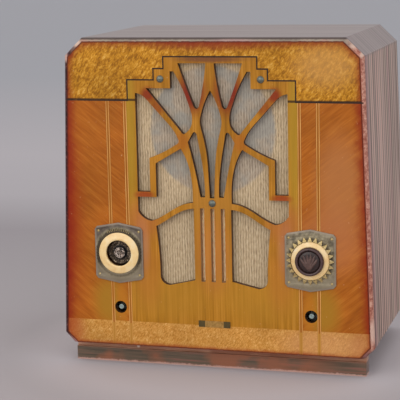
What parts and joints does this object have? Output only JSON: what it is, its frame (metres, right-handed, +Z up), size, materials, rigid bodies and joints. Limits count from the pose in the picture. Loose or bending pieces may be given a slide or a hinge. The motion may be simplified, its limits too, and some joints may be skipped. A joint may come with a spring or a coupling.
{
  "type": "table radio",
  "caption": "Wooden table radio with a pierced veneered front, cloth grille, dial plates, knob, valve chassis and moving-coil loudspeaker.",
  "frame": {"origin": "centre of the footprint of the whole set, knob included, on the surface it stands on", "axes": "+Z up, -Y out of the front, +X to the right of someone who faces the front"},
  "size_m": [0.4042, 0.2616, 0.418],
  "materials": {
    "ply_core": "birch plywood",
    "figured_veneer": "lacquered figured veneer",
    "striped_veneer": "lacquered ribbon-striped veneer",
    "plain_veneer": "lacquered straight-grained veneer",
    "light_inlay": "lacquered inlay",
    "dark_inlay": "lacquered inlay",
    "case_wood": "worn lacquered walnut",
    "frame_wood": "worn toned lacquer",
    "plinth_wood": "worn dark lacquer",
    "grille_fabric": "woven",
    "gasket_board": "pressed board",
    "basket_paint": "satin enamel",
    "cone_paper": "felted",
    "winding_paper": "varnished",
    "pot_iron": "satin enamel",
    "lamination_iron": "varnished stampings",
    "fastener_steel": "dull plated",
    "escutcheon_metal": "patinated",
    "nail_brass": "tarnished",
    "ivory_plastic": "aged ivory",
    "knob_bakelite": "moulded",
    "shaft_steel": "turned",
    "control_steel": "plated",
    "chassis_steel": "dull plated",
    "vane_aluminium": "plain",
    "socket_laminate": "pressed laminate",
    "base_bakelite": "moulded",
    "bulb_glass": "clear",
    "electrode_nickel": "carbonised",
    "can_aluminium": "drawn",
    "capacitor_card": "drawn",
    "rubber": "moulded",
    "plate_brass": "tarnished"
  },
  "bodies": {
    "cabinet": {"front_board": "ply_core", "veneer_top_band": "figured_veneer", "veneer_centre_panel": "plain_veneer", "veneer_side_fields": "striped_veneer", "veneer_bottom_band": "figured_veneer", "border_stringing": "dark_inlay", "inlay_strips": "light_inlay", "nameplate": "plate_brass", "front_frame": "frame_wood", "cabinet_left_side": "case_wood", "cabinet_right_side": "case_wood", "cabinet_top": "case_wood", "cabinet_bottom": "case_wood", "cabinet_corners": "case_wood", "plinth_front": "plinth_wood", "plinth_rails": "plinth_wood", "grille_cloth": "grille_fabric", "speaker_baffle": "ply_core", "speaker_gasket": "gasket_board", "speaker_basket": "basket_paint", "field_pot": "pot_iron", "field_coil": "winding_paper", "output_transformer_core": "lamination_iron", "output_transformer_coil": "winding_paper", "speaker_bolts": "fastener_steel", "speaker_nuts": "fastener_steel", "left_escutcheon": "escutcheon_metal", "right_escutcheon": "escutcheon_metal", "escutcheon_pins": "nail_brass", "left_dial_ring": "ivory_plastic", "right_dial_ring": "ivory_plastic", "control_bracket": "chassis_steel", "volume_control": "control_steel", "tone_control": "control_steel", "band_switch": "control_steel", "control_nuts": "fastener_steel", "gang_frame": "chassis_steel", "gang_stators": "vane_aluminium", "tuning_drive_housing": "control_steel", "valve_sockets": "socket_laminate", "valve_bases": "base_bakelite", "valve_glass": "bulb_glass", "valve_electrodes": "electrode_nickel", "valve_top_caps": "fastener_steel", "chassis_pan": "chassis_steel", "if_cans": "can_aluminium", "electrolytic_cans": "capacitor_card", "mains_transformer_core": "lamination_iron", "mains_transformer_coil": "winding_paper", "terminal_strip": "socket_laminate", "mains_grommet": "rubber", "chassis_bolts": "fastener_steel"},
    "volume_knob": {"volume_knob": "knob_bakelite", "volume_shaft": "shaft_steel"},
    "tone_spindle": {"tone_shaft": "shaft_steel"},
    "band_spindle": {"band_shaft": "shaft_steel"},
    "tuning_spindle": {"tuning_spindle": "shaft_steel"},
    "condenser_rotor": {"gang_rotor": "vane_aluminium"},
    "cone": {"speaker_cone": "cone_paper", "voice_coil": "winding_paper"}
  },
  "joints": [
    {"name": "volume_turn", "type": "hinge", "parent": "cabinet", "child": "volume_knob", "pos_m": [0.1236, -0.12025, 0.1464], "axis": [0, 1, 0], "range_deg": [-150, 150]},
    {"name": "tone_turn", "type": "hinge", "parent": "cabinet", "child": "tone_spindle", "pos_m": [-0.1239, -0.12025, 0.0756], "axis": [0, 1, 0], "range_deg": [-150, 150]},
    {"name": "band_turn", "type": "hinge", "parent": "cabinet", "child": "band_spindle", "pos_m": [0.1239, -0.12025, 0.0756], "axis": [0, 1, 0], "range_deg": [-30, 30]},
    {"name": "condenser_turn", "type": "hinge", "parent": "cabinet", "child": "condenser_rotor", "pos_m": [-0.1236, -0.12025, 0.1464], "axis": [0, 1, 0], "range_deg": [0, 180]},
    {"name": "tuning_turn", "type": "hinge", "parent": "cabinet", "child": "tuning_spindle", "pos_m": [-0.1236, -0.12025, 0.1464], "axis": [0, 1, 0], "range_deg": [0, 900]},
    {"name": "cone_travel", "type": "slide", "parent": "cabinet", "child": "cone", "axis": [0, 1, 0], "range_m": [-0.001, 0.001], "stiffness_N_per_m": 1500}
  ],
  "couplings": [
    {"joint": "tuning_turn", "follows": "condenser_turn", "ratio": 5}
  ]
}
